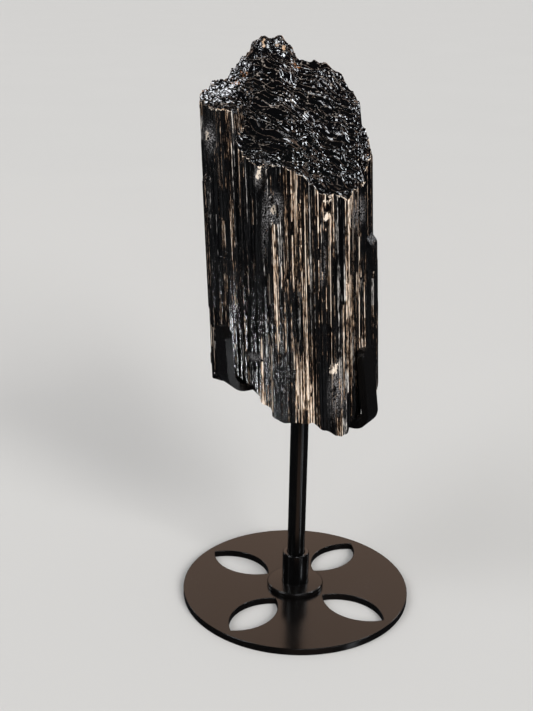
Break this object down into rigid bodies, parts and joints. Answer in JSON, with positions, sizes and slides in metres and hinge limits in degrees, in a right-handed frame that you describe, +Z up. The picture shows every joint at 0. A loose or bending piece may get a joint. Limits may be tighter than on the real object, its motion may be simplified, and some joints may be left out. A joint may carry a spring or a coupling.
{
  "type": "tourmaline crystal on stand",
  "caption": "Striated black tourmaline crystal with a slanted broken top, held upright by prongs on a rod above a round foot plate with leaf cutouts.",
  "frame": {"origin": "middle of the foot plate's underside", "axes": "+Z up along the rod; -Y to the front, where the slanted broken top faces; +X to the viewer's right"},
  "size_m": [0.13, 0.13, 0.3106],
  "materials": {
    "black_tourmaline": "glassy black with tan staining on its striations",
    "satin_black_paint": "satin black",
    "gloss_black_paint": "gloss black"
  },
  "bodies": {
    "root": {"crystal": "black_tourmaline", "base_plate": "satin_black_paint", "flange": "satin_black_paint", "sleeve": "gloss_black_paint", "rod": "gloss_black_paint", "hub": "satin_black_paint", "prong_front_left": "satin_black_paint", "prong_front_right": "satin_black_paint", "prong_back": "satin_black_paint"}
  },
  "joints": []
}
